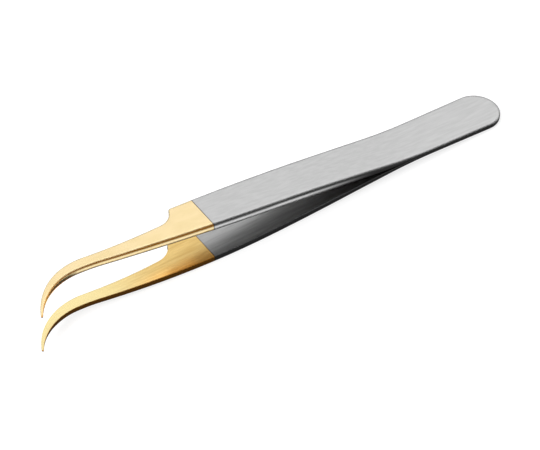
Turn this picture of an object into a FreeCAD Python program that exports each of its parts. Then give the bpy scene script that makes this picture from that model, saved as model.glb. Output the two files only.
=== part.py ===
# Fine-tipped curved tweezers: two bowed steel arms joined flat at the rear end.
# x runs from the rear end to the tips, y to the near side, where the tips curve, z across the jaws.
import FreeCAD, Part
import math
import os

import Sketcher

Vector = FreeCAD.Vector
doc = FreeCAD.newDocument("tweezers")

# Driving dimensions in millimetres
sheet = doc.addObject("Spreadsheet::Sheet", "dims")
dims = [
    ("overallLength", 115.0),
    ("rearRadius", 5.12),
    ("gripHalfWidth", 4.4),
    ("nearStraight", 60.0),
    ("neckToTip", 11.5),
    ("neckSide", 0.96),
    ("neckRadius", 37.0),
    ("innerCurveRadius", 12.9),
    ("outerCurveToTip", 14.2),
    ("outerCurveSide", 1.43),
    ("tipWidth", 0.4),
    ("bladeLength", 35.5),
    ("bladeBackRadius", 120.0),
    ("notchSide", 1.2),
    ("notchRadius", 4.4),
    ("cornerRadius", 0.6),
    ("rearThickness", 0.6),
    ("backLead", 2.0),
    ("backBend", 11.0),
    ("backRise", 12.0),
    ("backTopToTip", 21.0),
    ("bladeThickness", 1.3),
    ("backTaper", 8.5),
    ("tipThickness", 0.28),
    ("weldLength", 22.0),
    ("jawBend", 14.0),
    ("jawRise", 18.0),
    ("jawFlat", 15.0),
    ("jawHeight", 4.46),
    ("roundRear", 0.35),
    ("roundGrip", 0.5),
    ("roundBlade", 0.27),
    ("roundTip", 0.1),
]
for row, (alias, number) in enumerate(dims, start=1):
    sheet.set("A%d" % row, alias)
    sheet.set("B%d" % row, str(number))
    sheet.setAlias("B%d" % row, alias)
doc.recompute()


def size(alias):
    return float(sheet.get(alias))


def arc(centre, radius, start, end):
    # an arc that turns anticlockwise from one angle to the other
    circle = Part.Circle(Vector(centre[0], centre[1], 0), Vector(0, 0, 1), radius)
    return Part.ArcOfCircle(circle, start, end)


def line(first, second):
    return Part.LineSegment(Vector(first[0], first[1], 0), Vector(second[0], second[1], 0))


def bind(sketch, kind, places, guess, formula):
    # one dimension of a sketch, held by the sheet
    index = sketch.addConstraint(Sketcher.Constraint(kind, *places, guess))
    sketch.setExpression("Constraints[%d]" % index, formula)


def pin(sketch, geometry, end, x, y, xFormula=None, yFormula=None):
    # a point held at its distances from the sketch's origin
    if xFormula:
        bind(sketch, "DistanceX", (-1, 1, geometry, end), x, xFormula)
    if yFormula:
        bind(sketch, "DistanceY", (-1, 1, geometry, end), y, yFormula)


def angle(centre, point):
    return math.atan2(point[1] - centre[1], point[0] - centre[0])


def onCircle(centre, radius, turn):
    return (centre[0] + radius * math.cos(turn), centre[1] + radius * math.sin(turn))


def touch(centre, radius, point):
    # the angle at which a line from a point touches the near side of a circle
    return angle(centre, point) + math.acos(radius / math.dist(centre, point))


# Outline of an arm seen from above
outline = doc.addObject("Sketcher::SketchObject", "armOutline")
quarter = math.pi / 2
length = size("overallLength")
rear = size("rearRadius")
grip = size("gripHalfWidth")
straight = size("nearStraight")
neck = (length - size("neckToTip"), size("neckSide"))
neckRadius = size("neckRadius")
inner = size("innerCurveRadius")
corner = length - size("bladeLength")
outerStart = (length - size("outerCurveToTip"), -size("outerCurveSide"))

# the near edge turns inward, then out again to the tip
nearTouch = touch((rear, 0), rear, (straight, grip))
farTouch = 2 * math.pi - touch((rear, 0), rear, (corner, grip))
neckCentre = (neck[0], neck[1] + neckRadius)
gap = (straight - neckCentre[0], grip - neckCentre[1])
across = math.cos(nearTouch) * gap[0] + math.sin(nearTouch) * gap[1]
swell = (gap[0] ** 2 + gap[1] ** 2 - neckRadius ** 2) / (2 * (neckRadius + across))
swellCentre = onCircle((straight, grip), -swell, nearTouch)
innerCentre = (neck[0], neck[1] + inner)

# the far edge rounds a corner, scoops in at the notch and runs on to the tip
back = size("bladeBackRadius")
scoop = size("notchRadius")
notch = (corner + scoop, -size("notchSide"))
fall = math.asin(math.dist(outerStart, notch) / 2 / back) - angle(outerStart, notch) + math.pi
backCentre = onCircle(outerStart, back, -quarter - fall)
away = angle(backCentre, notch)
level = grip + notch[1] - scoop * math.sin(away)
notch = (corner + scoop * math.cos(away) + math.sqrt(scoop ** 2 - level ** 2), notch[1])
scoopCentre = onCircle(notch, -scoop, away)
blunt = size("cornerRadius")
bluntCentre = (scoopCentre[0] - math.sqrt((scoop + blunt) ** 2 - (blunt - grip - scoopCentre[1]) ** 2), blunt - grip)
wide = inner + size("tipWidth")
farEnd = (length, innerCentre[1] - math.sqrt(wide ** 2 - (length - innerCentre[0]) ** 2))
ahead = (farEnd[0] - outerStart[0], farEnd[1] - outerStart[1])
outer = (ahead[0] ** 2 + ahead[1] ** 2) / (2 * (ahead[0] * math.sin(fall) + ahead[1] * math.cos(fall)))
outerCentre = onCircle(outerStart, outer, quarter - fall)
nearTip = angle(innerCentre, farEnd)

outline.addGeometry([
    arc((rear, 0), rear, nearTouch, farTouch),
    line(onCircle((rear, 0), rear, farTouch), (bluntCentre[0], -grip)),
    arc(scoopCentre, scoop, angle(scoopCentre, notch), angle(scoopCentre, bluntCentre)),
    arc(backCentre, back, angle(backCentre, outerStart), angle(backCentre, notch)),
    arc(outerCentre, outer, angle(outerCentre, outerStart), angle(outerCentre, farEnd)),
    line(farEnd, onCircle(innerCentre, inner, nearTip)),
    arc(innerCentre, inner, -quarter, nearTip),
    arc(neckCentre, neckRadius, angle(neckCentre, swellCentre), -quarter),
    arc(swellCentre, swell, angle(swellCentre, neckCentre), nearTouch),
    line((straight, grip), onCircle((rear, 0), rear, nearTouch)),
    arc(bluntCentre, blunt, -quarter, angle(bluntCentre, scoopCentre)),
], False)
outline.addGeometry(Part.Point(Vector(corner, -grip, 0)), True)

for first, firstEnd, second, secondEnd in [(0, 2, 1, 1), (1, 2, 10, 1), (10, 2, 2, 2), (2, 1, 3, 2),
                                           (3, 1, 4, 1), (6, 1, 7, 2), (7, 1, 8, 1), (8, 2, 9, 1), (9, 2, 0, 1)]:
    outline.addConstraint(Sketcher.Constraint("Tangent", first, firstEnd, second, secondEnd))
for first, firstEnd, second, secondEnd in [(4, 2, 5, 1), (5, 2, 6, 2)]:
    outline.addConstraint(Sketcher.Constraint("Coincident", first, firstEnd, second, secondEnd))
outline.addConstraint(Sketcher.Constraint("Vertical", 6, 1, 6, 3))
outline.addConstraint(Sketcher.Constraint("PointOnObject", 0, 3, -1))
outline.addConstraint(Sketcher.Constraint("PointOnObject", 6, 3, 5))
pin(outline, 0, 3, rear, 0, "dims.rearRadius")
pin(outline, 9, 1, straight, grip, "dims.nearStraight", "dims.gripHalfWidth")
pin(outline, 6, 1, neck[0], neck[1], "dims.overallLength - dims.neckToTip", "dims.neckSide")
outline.addConstraint(Sketcher.Constraint("PointOnObject", 11, 1, 1))
outline.addConstraint(Sketcher.Constraint("PointOnObject", 11, 1, 2))
pin(outline, 11, 1, corner, -grip, "dims.overallLength - dims.bladeLength", "-dims.gripHalfWidth")
pin(outline, 2, 1, notch[0], notch[1], None, "-dims.notchSide")
pin(outline, 4, 1, outerStart[0], outerStart[1],
    "dims.overallLength - dims.outerCurveToTip", "-dims.outerCurveSide")
pin(outline, 4, 2, length, 0, "dims.overallLength")
for geometry, alias in [(0, "rearRadius"), (10, "cornerRadius"), (2, "notchRadius"), (3, "bladeBackRadius"),
                        (6, "innerCurveRadius"), (7, "neckRadius")]:
    bind(outline, "Radius", (geometry,), size(alias), "dims." + alias)
bind(outline, "Distance", (5,), size("tipWidth"), "dims.tipWidth")

# Side shape of the upper arm, from the weld plane at z = 0
side = doc.addObject("Sketcher::SketchObject", "armSide")
side.Placement = FreeCAD.Placement(Vector(0, 0, 0), FreeCAD.Rotation(Vector(1, 0, 0), 90))
margin = 0.2  # how far each profile runs past the other
profileEnd = length + margin


def bow(sketch, first, start, bendEnd, riseEnd, top, guess):
    # flat, bend up, straight rise, long bend back to level: each tangent to the next
    slope = (top[1] - start[1]) / ((bendEnd - start[0]) / 2 + riseEnd - bendEnd + (top[0] - riseEnd) / 2)
    lean = math.atan(slope)
    low = (bendEnd - start[0]) / math.sin(lean)
    high = (top[0] - riseEnd) / math.sin(lean)
    bendTop = start[1] + low * (1 - math.cos(lean))
    sketch.addGeometry([
        line((-margin, start[1]), start),
        arc((start[0], start[1] + low), low, -quarter, lean - quarter),
        line((bendEnd, bendTop), (riseEnd, top[1] - high * (1 - math.cos(lean)))),
        arc((top[0], top[1] - high), high, quarter, quarter + lean),
        line(top, (guess, top[1])),
    ], False)
    sketch.addConstraint(Sketcher.Constraint("Horizontal", first))
    sketch.addConstraint(Sketcher.Constraint("Tangent", first, 2, first + 1, 1))
    sketch.addConstraint(Sketcher.Constraint("Tangent", first + 1, 2, first + 2, 1))
    sketch.addConstraint(Sketcher.Constraint("Tangent", first + 2, 2, first + 3, 2))
    sketch.addConstraint(Sketcher.Constraint("Tangent", first + 3, 1, first + 4, 1))
    sketch.addConstraint(Sketcher.Constraint("Horizontal", first + 4))
    pin(sketch, first, 1, -margin, 0, "-%s" % margin)


backStart = size("weldLength") - size("backLead")
backTop = (length - size("backTopToTip"), size("jawHeight") + size("bladeThickness"))
backEnd = length - size("backTaper")
bendEnd = backStart + size("backBend")
riseEnd = bendEnd + size("backRise")
bow(side, 0, (backStart, size("rearThickness")), bendEnd, riseEnd, backTop, backEnd)
pin(side, 0, 2, backStart, size("rearThickness"), "dims.weldLength - dims.backLead", "dims.rearThickness")
pin(side, 1, 2, bendEnd, 0, "dims.weldLength - dims.backLead + dims.backBend")
pin(side, 2, 2, riseEnd, 0, "dims.weldLength - dims.backLead + dims.backBend + dims.backRise")
pin(side, 3, 1, backTop[0], backTop[1],
    "dims.overallLength - dims.backTopToTip", "dims.jawHeight + dims.bladeThickness")
pin(side, 4, 2, backEnd, 0, "dims.overallLength - dims.backTaper")

jawTop = (length - size("jawFlat"), size("jawHeight"))
jawBendEnd = size("weldLength") + size("jawBend")
jawRiseEnd = jawBendEnd + size("jawRise")
bow(side, 5, (size("weldLength"), 0), jawBendEnd, jawRiseEnd, jawTop, profileEnd)
pin(side, 5, 2, size("weldLength"), 0, "dims.weldLength")
side.addConstraint(Sketcher.Constraint("PointOnObject", 5, 2, -1))
pin(side, 6, 2, jawBendEnd, 0, "dims.weldLength + dims.jawBend")
pin(side, 7, 2, jawRiseEnd, 0, "dims.weldLength + dims.jawBend + dims.jawRise")
pin(side, 8, 1, jawTop[0], jawTop[1], "dims.overallLength - dims.jawFlat", "dims.jawHeight")
pin(side, 9, 2, profileEnd, 0, "dims.overallLength + %s" % margin)

drop = size("bladeThickness") - size("tipThickness")
taper = (size("backTaper") ** 2 + drop ** 2) / (2 * drop)
taperCentre = (backEnd, backTop[1] - taper)
taperEnd = math.asin((profileEnd - backEnd) / taper)
side.addGeometry([
    arc(taperCentre, taper, quarter - taperEnd, quarter),
    line(onCircle(taperCentre, taper, quarter - taperEnd), (profileEnd, jawTop[1])),
    line((-margin, size("rearThickness")), (-margin, 0)),
], False)
side.addGeometry(Part.Point(Vector(length, jawTop[1] + size("tipThickness"), 0)), True)
side.addConstraint(Sketcher.Constraint("Tangent", 4, 2, 10, 2))
side.addConstraint(Sketcher.Constraint("Coincident", 10, 1, 11, 1))
side.addConstraint(Sketcher.Constraint("Coincident", 11, 2, 9, 2))
side.addConstraint(Sketcher.Constraint("Vertical", 11))
side.addConstraint(Sketcher.Constraint("Coincident", 12, 1, 0, 1))
side.addConstraint(Sketcher.Constraint("Coincident", 12, 2, 5, 1))
side.addConstraint(Sketcher.Constraint("PointOnObject", 13, 1, 10))
pin(side, 13, 1, length, jawTop[1] + size("tipThickness"),
    "dims.overallLength", "dims.jawHeight + dims.tipThickness")

# Each arm is what both outlines share
blank = doc.addObject("Part::Extrusion", "armBlank")
blank.Base = outline
blank.DirMode = "Normal"
blank.Solid = True
blank.LengthRev = margin
blank.setExpression("LengthFwd", "dims.jawHeight + dims.bladeThickness + %s" % margin)
profile = doc.addObject("Part::Extrusion", "armProfile")
profile.Base = side
profile.DirMode = "Normal"
profile.Solid = True
profile.Symmetric = True
profile.setExpression("LengthFwd", "4 * dims.rearRadius + 2 * dims.innerCurveRadius")
shared = doc.addObject("Part::MultiCommon", "armShape")
shared.Shapes = [blank, profile]
shared.Refine = True
doc.recompute()

# The outer long edges are rounded, widest at the grip and least at the tip


tiny = 0.01


def rounding(x):
    stations = [
        (0, "roundRear"),
        (backStart, "roundRear"),
        (riseEnd, "roundGrip"),
        (straight, "roundGrip"),
        (neck[0], "roundBlade"),
        (length, "roundTip"),
    ]
    for (before, first), (after, second) in zip(stations, stations[1:]):
        if x <= after:
            share = (x - before) / (after - before)
            return size(first) + share * (size(second) - size(first))
    return size("roundTip")


def outerEdges(shape):
    # the edges between the outer face and a side, without the tip's end
    found = []
    for number, edge in enumerate(shape.Edges, start=1):
        middle = edge.valueAt((edge.FirstParameter + edge.LastParameter) / 2)
        faces = [face for face in shape.Faces if any(edge.isSame(other) for other in face.Edges)]
        normals = sorted(face.normalAt(*face.Surface.parameter(middle)).z for face in faces)
        first, last = edge.firstVertex(True).Point, edge.lastVertex(True).Point
        atEnd = min(first.x, last.x) > length - size("tipWidth") - tiny
        if normals[-1] > 0.5 and abs(normals[0]) < 0.1 and not atEnd:
            found.append((number, first, last))
    return found


def run(edges, start):
    # the edges met one after another from a point, each with its rounding at the far and the near end
    here = start
    left = list(edges)
    steps = []
    while True:
        touching = [entry for entry in left if min(here.distanceToPoint(point) for point in entry[1:]) < tiny]
        if not touching:
            return steps
        number, first, last = touching[0]
        left.remove(touching[0])
        there = last if here.distanceToPoint(first) < tiny else first
        steps.append((number, rounding(there.x), rounding(here.x)))
        here = there


def outerCorner(shape, x, y):
    # the outline's corner on the outer face
    beside = [vertex.Point for vertex in shape.Vertexes if math.hypot(vertex.X - x, vertex.Y - y) < tiny]
    return max(beside, key=lambda point: point.z)


edges = outerEdges(shared.Shape)
rounded = doc.addObject("Part::Fillet", "upperArm")
rounded.Base = shared
rounded.Edges = run(edges, outerCorner(shared.Shape, *farEnd))
rounded.Label = "upper_arm"
mirrored = doc.addObject("Part::Mirroring", "lowerArm")
mirrored.Source = rounded
mirrored.Label = "lower_arm"
doc.recompute()

# The tweezers lie on the lower arm, on its rear end and the belly of its bow


def restingPitch(shape):
    # the slope of the supporting line that passes under the middle of both arms
    points = sorted((point.x, point.z) for point in shape.tessellate(0.01)[0])
    hull = []
    for point in points:
        while len(hull) > 1:
            (x1, z1), (x2, z2) = hull[-2:]
            if (x2 - x1) * (point[1] - z1) - (z2 - z1) * (point[0] - x1) > 0:
                break
            hull.pop()
        hull.append(point)
    middle = shape.Solids[0].CenterOfMass.x
    for (x1, z1), (x2, z2) in zip(hull, hull[1:]):
        if x1 <= middle <= x2:
            return math.degrees(math.atan2(z2 - z1, x2 - x1))


pitch = restingPitch(mirrored.Shape)
turned = FreeCAD.Rotation(Vector(0, 1, 0), pitch)
both = Part.makeCompound([rounded.Shape, mirrored.Shape])
both.Placement = FreeCAD.Placement(Vector(0, 0, 0), turned)
box = both.optimalBoundingBox(False)
origin = Vector(-box.Center.x, -box.Center.y, -box.ZMin)
rounded.Placement = FreeCAD.Placement(origin, turned)
mirrored.Base = origin
mirrored.Normal = turned.multVec(Vector(0, 0, 1))
doc.recompute()

# Every object is sound before anything is written
for item in doc.Objects:
    if "Invalid" in item.State or "Error" in item.State:
        raise RuntimeError(item.Name + " failed")
os.makedirs("parts", exist_ok=True)
for arm in (rounded, mirrored):
    if arm.Shape.isNull() or not arm.Shape.isValid() or len(arm.Shape.Solids) != 1:
        raise RuntimeError(arm.Label + " is not one sound solid")
    arm.Shape.exportStep("parts/%s.step" % arm.Label)
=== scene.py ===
import math

import bpy
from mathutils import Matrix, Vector

# lengths are in metres, in the part's frame: x towards the tips, y towards the near side, z up
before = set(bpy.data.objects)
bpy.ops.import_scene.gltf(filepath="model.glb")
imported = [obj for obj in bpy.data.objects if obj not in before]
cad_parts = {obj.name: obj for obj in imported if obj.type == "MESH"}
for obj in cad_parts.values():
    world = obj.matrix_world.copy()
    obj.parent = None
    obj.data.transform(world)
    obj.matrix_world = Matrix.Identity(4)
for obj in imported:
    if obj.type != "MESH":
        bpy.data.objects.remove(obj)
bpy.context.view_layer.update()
print("stage: frame loaded")


def srgb(code):
    channels = [int(code[i:i + 2], 16) / 255 for i in (0, 2, 4)]
    linear = [c / 12.92 if c <= 0.04045 else ((c + 0.055) / 1.055) ** 2.4 for c in channels]
    return (*linear, 1.0)


def addNode(tree, kind, inputs=None, **settings):
    node = tree.nodes.new(kind)
    for name, value in settings.items():
        setattr(node, name, value)
    for name, value in (inputs or {}).items():
        if isinstance(value, bpy.types.NodeSocket):
            tree.links.new(value, node.inputs[name])
        else:
            node.inputs[name].default_value = value
    return node


def newMaterial(name):
    material = bpy.data.materials.new(name)
    material.use_nodes = True
    material.node_tree.nodes.clear()
    return material


def calculate(tree, operation, first, second=0.0):
    return addNode(tree, "ShaderNodeMath", {0: first, 1: second}, operation=operation).outputs["Value"]


# how far a value is from a centre, on either side
def offset(tree, value, centre):
    return calculate(tree, "ABSOLUTE", calculate(tree, "SUBTRACT", value, centre))


def ramp(tree, value, low, high, atLow=0.0, atHigh=1.0, kind="SMOOTHSTEP"):
    ends = {"From Min": low, "From Max": high, "To Min": atLow, "To Max": atHigh}
    return addNode(tree, "ShaderNodeMapRange", {"Value": value, **ends},
                   interpolation_type=kind).outputs["Result"]


def mix(tree, factor, first, second, kind="FLOAT"):
    return addNode(tree, "ShaderNodeMix", {"Factor": factor, "A": first, "B": second},
                   data_type=kind).outputs["Result"]


def mixColour(tree, factor, first, second):
    first, second = (srgb(shade) if isinstance(shade, str) else shade for shade in (first, second))
    return mix(tree, factor, first, second, "RGBA")


def noise(tree, place, along, across, detail, roughness=0.6):
    scale = (1 / along, 1 / across, 1 / across)
    spread = addNode(tree, "ShaderNodeVectorMath", {0: place, 1: scale}, operation="MULTIPLY")
    return addNode(tree, "ShaderNodeTexNoise", {
        "Vector": spread.outputs["Vector"], "Scale": 1.0, "Detail": detail,
        "Roughness": roughness}).outputs["Fac"]


arms = {
    "goldEdge": 0.0161,              # x of the plating's edge
    "lineWidth": 0.00018,            # the dull line there
    "marks": (0.007, 0.00045, 3.0),  # brush marks: length, width, detail
    "clouds": (0.006, 0.002, 2.0),   # faint clouding of the gold: length, width, detail
    "spread": (0.3, 0.7),            # the part of the noises' range that is drawn
    "middle": (0.0647, 0.00464),     # the plane between the arms: slope, and height at x = 0
    "innerFrom": 0.0003,             # how far off that plane the inner faces start
    "warmer": (-0.001, 0.0025),      # y over which a painted reflection deepens the inner gold towards the near side
    "warmerEnd": (0.028, 0.038),     # x over which it stops doing so
    "paler": (0.024, 0.044),         # x over which the inner gold's painted shade fades towards the tips, where the arms part
    "reach": (0.0009, 0.0006),       # how far the soft edges reach, at the grip and at the tips
    "reachAt": (0.0, 0.05),          # x of those two
    "sharper": 0.35,                 # share of that reach on the lower arm, whose sharp side is up
    "edgeSamples": 6,
    "sideEnd": (0.12, 0.3),          # tilt over which an upright side becomes the rounding
    "faceStart": (0.82, 0.95),       # tilt over which the rounding becomes the flat face
    "polishEnd": (0.85, 0.97),       # tilt over which the rounding's polish ends
    "nearSide": (0.0, 0.2),          # y of the normal over which an edge faces the near side
    "steelRoughness": (0.28, 0.34),
    "goldRoughness": (0.2, 0.27),
    "edgeRoughness": 0.11,
    "flatGoldMetallic": 0.82,
    "markStrength": 0.15,
    "markDepth": 0.00002,
    "outerSteel": ("ACACAC", "B5B5B5"),
    # painted shade: the inner faces, between the arms, are drawn darker than the outer ones
    "innerSteelPaintedShade": ("969696", "A6A6A6"),
    # painted shade on the steel edges that face the near side
    "edgeSteelPaintedShade": "8E8E8E",
    "outerGold": ("DEC897", "E3CD9F"),
    # painted shade between the arms, on the inner gold too
    "innerGoldPaintedShade": ("C8A662", "D8BA78"),
    # painted reflection: gold mirrored in gold, drawn deeper orange
    "paintedReflectionGold": ("F0B45C", "FAC470"),
    "tipGold": "E2D097",
    # painted shade on the gold edges that face the near side
    "edgeGoldPaintedShade": "FFAC42",
    "platingLine": "6E675C",
}


# Stainless steel brushed along its length, which breaks each reflection into fine lengthwise streaks.
# The blades are plated with gold, smoother than the steel and still showing its marks. Real marks are
# about 0.05 mm wide, too fine to show here, so they are drawn coarser. Painted shade darkens the inner
# faces between the arms and the edges that face the near side, and a painted reflection deepens the
# inner gold towards the near side.
def brushedSteelPlatedGoldWithPaintedShade():
    material = newMaterial("brushedSteelPlatedGoldWithPaintedShade")
    tree = material.node_tree
    place = addNode(tree, "ShaderNodeTexCoord").outputs["Object"]
    x, y, z = addNode(tree, "ShaderNodeSeparateXYZ", {"Vector": place}).outputs
    marks = noise(tree, place, *arms["marks"])
    streaks = ramp(tree, marks, *arms["spread"])
    clouds = ramp(tree, noise(tree, place, *arms["clouds"]), *arms["spread"])

    # the inner faces look at the plane between the arms, and are drawn darker: painted shade between them
    slope, height = arms["middle"]
    middle = calculate(tree, "ADD", calculate(tree, "MULTIPLY", x, slope), height)
    normal = addNode(tree, "ShaderNodeNewGeometry").outputs["Normal"]
    up = addNode(tree, "ShaderNodeSeparateXYZ", {"Vector": normal}).outputs["Z"]
    facing = calculate(tree, "MULTIPLY", calculate(tree, "SUBTRACT", middle, z), up)
    inside = calculate(tree, "GREATER_THAN", facing, arms["innerFrom"])
    lower = calculate(tree, "LESS_THAN", z, middle)

    # the soft edges: tilt is 0 on an upright side and 1 on a flat face
    reach = ramp(tree, x, *arms["reachAt"], *arms["reach"], "LINEAR")
    reach = calculate(tree, "MULTIPLY", reach, mix(tree, lower, 1.0, arms["sharper"]))
    soft = addNode(tree, "ShaderNodeBevel", {"Radius": reach}, samples=arms["edgeSamples"])
    turned = addNode(tree, "ShaderNodeSeparateXYZ", {"Vector": soft.outputs["Normal"]}).outputs
    tilt = calculate(tree, "ABSOLUTE", turned["Z"])
    # painted shade: the roundings facing the near side, and there the lower arm's upright sides too, are
    # drawn darker
    nearEdgeShade = calculate(tree, "MAXIMUM", ramp(tree, tilt, *arms["sideEnd"]), lower)
    nearEdgeShade = calculate(tree, "MULTIPLY", nearEdgeShade, ramp(tree, tilt, *arms["faceStart"], 1.0, 0.0))
    nearEdgeShade = calculate(tree, "MULTIPLY", nearEdgeShade, ramp(tree, turned["Y"], *arms["nearSide"]))

    # painted shade: the inner faces between the arms take the darker inner colours
    steel = mixColour(tree, inside, mixColour(tree, streaks, *arms["outerSteel"]),
                      mixColour(tree, streaks, *arms["innerSteelPaintedShade"]))
    steel = mixColour(tree, nearEdgeShade, steel, arms["edgeSteelPaintedShade"])

    # painted reflection: towards the near side the inner gold is drawn deeper orange, as gold mirrored in
    # gold
    paintedGoldReflection = calculate(tree, "MULTIPLY", ramp(tree, y, *arms["warmer"]),
                       ramp(tree, x, *arms["warmerEnd"], 1.0, 0.0))
    innerGoldPaintedShade = mixColour(tree, paintedGoldReflection, mixColour(tree, streaks, *arms["innerGoldPaintedShade"]),
                          mixColour(tree, streaks, *arms["paintedReflectionGold"]))
    innerGoldPaintedShade = mixColour(tree, ramp(tree, x, *arms["paler"]), innerGoldPaintedShade, arms["tipGold"])
    plating = mixColour(tree, inside, mixColour(tree, clouds, *arms["outerGold"]), innerGoldPaintedShade)
    plating = mixColour(tree, nearEdgeShade, plating, arms["edgeGoldPaintedShade"])

    gold = calculate(tree, "GREATER_THAN", x, arms["goldEdge"])
    line = calculate(tree, "LESS_THAN", offset(tree, x, arms["goldEdge"]), arms["lineWidth"] / 2)
    colour = mixColour(tree, gold, steel, plating)
    colour = mixColour(tree, line, colour, arms["platingLine"])

    # the rounding is polished, and a little plain colour keeps the flat gold pale on its dark side
    roughness = mix(tree, gold, mix(tree, streaks, *arms["steelRoughness"]),
                    mix(tree, streaks, *arms["goldRoughness"]))
    polish = ramp(tree, tilt, *arms["polishEnd"], 1.0, 0.0)
    roughness = mix(tree, polish, roughness, arms["edgeRoughness"])
    flatGold = calculate(tree, "MULTIPLY", gold, ramp(tree, tilt, *arms["faceStart"]))
    metallic = mix(tree, flatGold, 1.0, arms["flatGoldMetallic"])
    grooves = addNode(tree, "ShaderNodeBump", {
        "Height": marks, "Strength": arms["markStrength"], "Distance": arms["markDepth"],
        "Normal": soft.outputs["Normal"]})
    shader = addNode(tree, "ShaderNodeBsdfPrincipled", {
        "Base Color": colour, "Metallic": metallic, "Roughness": roughness,
        "Normal": grooves.outputs["Normal"]})
    addNode(tree, "ShaderNodeOutputMaterial", {"Surface": shader.outputs["BSDF"]})
    return material


metal = brushedSteelPlatedGoldWithPaintedShade()
for name in ("upper_arm", "lower_arm"):
    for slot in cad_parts[name].material_slots:
        slot.material = metal
print("stage: arms")


ground = {
    "side": 3.0,
    "colour": "EDEDED",
    "glow": 1.25,                    # how bright the camera sees it
    "glowShare": 0.6,                # and the share of that, since the rest shows the soft shadow
    # polished metal mirrors a painted floor: a painted shadow under the arms and a glowing strip beside them
    "axis": -0.0011,                 # y of the arms' middle line
    "stripStart": (0.0096, 0.0116),  # how far beside that line the bright strip starts
    "stripEnd": (0.0135, 0.0175),    # and ends
    "stripFaint": 0.2,               # share of its light that is left beyond its end
    "slantAt": (-0.02, 0.01),        # x over which it comes closer to the arms
    "slant": (0.003, 0.0),           # and by how much
    "stripHeel": (-0.026, -0.006),   # x over which it starts behind the weld
    "paintedStripLight": 1.5,
    "paintedShadowLight": 0.06,
}


# Matt white board, which shows the camera a plain white ground with a soft shadow. Polished metal
# mirrors a painted reflection of it: a painted shadow below the arms, and a glowing painted strip beside
# them that draws their sides.
def whiteBoardWithPaintedReflection():
    material = newMaterial("whiteBoardWithPaintedReflection")
    tree = material.node_tree
    rays = addNode(tree, "ShaderNodeLightPath").outputs
    matt = addNode(tree, "ShaderNodeBsdfDiffuse", {"Color": srgb(ground["colour"])})
    glow = addNode(tree, "ShaderNodeEmission", {"Color": srgb("FFFFFF"), "Strength": ground["glow"]})
    share = calculate(tree, "MULTIPLY", rays["Is Camera Ray"], ground["glowShare"])
    seen = addNode(tree, "ShaderNodeMixShader", {
        0: share, 1: matt.outputs["BSDF"], 2: glow.outputs["Emission"]})

    place = addNode(tree, "ShaderNodeTexCoord").outputs["Object"]
    x, y, _ = addNode(tree, "ShaderNodeSeparateXYZ", {"Vector": place}).outputs
    slant = ramp(tree, x, *ground["slantAt"], *ground["slant"], "LINEAR")
    beside = calculate(tree, "ADD", offset(tree, y, ground["axis"]), slant)
    strip = calculate(tree, "MULTIPLY", ramp(tree, beside, *ground["stripStart"]),
                      ramp(tree, beside, *ground["stripEnd"], 1.0, ground["stripFaint"]))
    strip = calculate(tree, "MULTIPLY", strip, ramp(tree, x, *ground["stripHeel"]))
    level = mix(tree, strip, ground["paintedShadowLight"], ground["paintedStripLight"])
    floorPaintedReflection = addNode(tree, "ShaderNodeEmission", {"Color": srgb("FFFFFF"), "Strength": level})
    both = addNode(tree, "ShaderNodeMixShader", {
        0: rays["Is Glossy Ray"], 1: seen.outputs["Shader"], 2: floorPaintedReflection.outputs["Emission"]})
    addNode(tree, "ShaderNodeOutputMaterial", {"Surface": both.outputs["Shader"]})
    return material


def makeFloor():
    half = ground["side"] / 2
    corners = [(-half, -half, 0), (half, -half, 0), (half, half, 0), (-half, half, 0)]
    mesh = bpy.data.meshes.new("floor")
    mesh.from_pydata(corners, [], [(0, 1, 2, 3)])
    mesh.materials.append(whiteBoardWithPaintedReflection())
    floor = bpy.data.objects.new("floor", mesh)
    bpy.context.collection.objects.link(floor)


# directions are unit vectors out of the part, and lights are the strength of the world there
room = {
    "farSide": (-0.567, -0.8237, 0.0),
    "farFrom": (0.1, 0.42),          # how far towards that side the room turns bright
    "dimLight": 0.75,
    "brightLight": 1.25,
    "battenY": -0.27,                # a narrow bright strip high on the far side
    "battenWidth": (0.08, 0.2),
    "battenAbove": (0.5, 0.7),
    "battenLight": 1.3,
    "screenX": -0.39,                # a dark screen on the camera's side
    "screenWidth": (0.25, 0.6),
    "screenNear": (-0.28, 0.0),
    "screenLight": 0.2,
}


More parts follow.
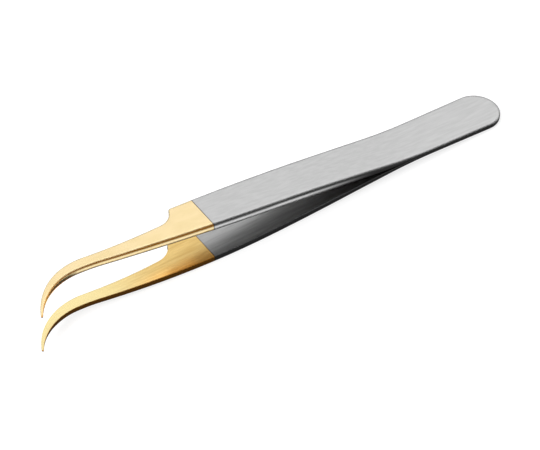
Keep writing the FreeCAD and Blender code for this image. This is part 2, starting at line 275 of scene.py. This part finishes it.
def makeRoom():
    world = bpy.data.worlds.new("studio")
    world.use_nodes = True
    tree = world.node_tree
    tree.nodes.clear()
    way = addNode(tree, "ShaderNodeTexCoord").outputs["Generated"]
    x, y, z = addNode(tree, "ShaderNodeSeparateXYZ", {"Vector": way}).outputs
    far = addNode(tree, "ShaderNodeVectorMath", {0: way, 1: room["farSide"]}, operation="DOT_PRODUCT")
    level = ramp(tree, far.outputs["Value"], *room["farFrom"], room["dimLight"], room["brightLight"])
    batten = calculate(tree, "MULTIPLY",
                       ramp(tree, offset(tree, y, room["battenY"]), *room["battenWidth"], 1.0, 0.0),
                       ramp(tree, z, *room["battenAbove"]))
    level = calculate(tree, "ADD", level, calculate(tree, "MULTIPLY", batten, room["battenLight"]))
    screen = calculate(tree, "MULTIPLY", ramp(tree, y, *room["screenNear"]),
                       ramp(tree, offset(tree, x, room["screenX"]), *room["screenWidth"], 1.0, 0.0))
    level = mix(tree, screen, level, room["screenLight"])
    back = addNode(tree, "ShaderNodeBackground", {"Color": srgb("FFFFFF"), "Strength": level})
    addNode(tree, "ShaderNodeOutputWorld", {"Surface": back.outputs["Background"]})
    bpy.context.scene.world = world


softbox = {
    "place": (0.95, 0.1, 0.75),
    "size": 0.7,
    "power": 12.0,                   # in watts
}


def makeSoftbox():
    data = bpy.data.lights.new("tipSideSoftbox", "AREA")
    data.shape = "RECTANGLE"
    data.size = data.size_y = softbox["size"]
    data.energy = softbox["power"]
    light = bpy.data.objects.new("tipSideSoftbox", data)
    light.location = softbox["place"]
    light.rotation_euler = (-Vector(softbox["place"])).to_track_quat("-Z", "Y").to_euler()
    bpy.context.collection.objects.link(light)


camera = {
    "azimuth": 145.459,              # in degrees
    "elevation": 46.056,
    "distance": 0.479967,
    "target": (-0.007037, -0.011667, -0.015411),
    "focal": 2278.771,               # in pixels of the picture
    "pictureWidth": 540,             # in pixels
    "sensorWidth": 36.0,             # in millimetres
    "clipStart": 0.01,
}


def makeCamera():
    data = bpy.data.cameras.new("photoCamera")
    data.sensor_width = camera["sensorWidth"]
    data.lens = camera["focal"] * camera["sensorWidth"] / camera["pictureWidth"]
    data.clip_start = camera["clipStart"]
    around, above = math.radians(camera["azimuth"]), math.radians(camera["elevation"])
    back = Vector((math.sin(around) * math.cos(above), -math.cos(around) * math.cos(above), math.sin(above)))
    holder = bpy.data.objects.new("photoCamera", data)
    holder.location = Vector(camera["target"]) + back * camera["distance"]
    holder.rotation_euler = back.to_track_quat("Z", "Y").to_euler()
    bpy.context.collection.objects.link(holder)
    bpy.context.scene.camera = holder


makeFloor()
makeRoom()
makeSoftbox()
makeCamera()
bpy.context.scene.view_settings.view_transform = "Standard"
print("stage: studio and camera")
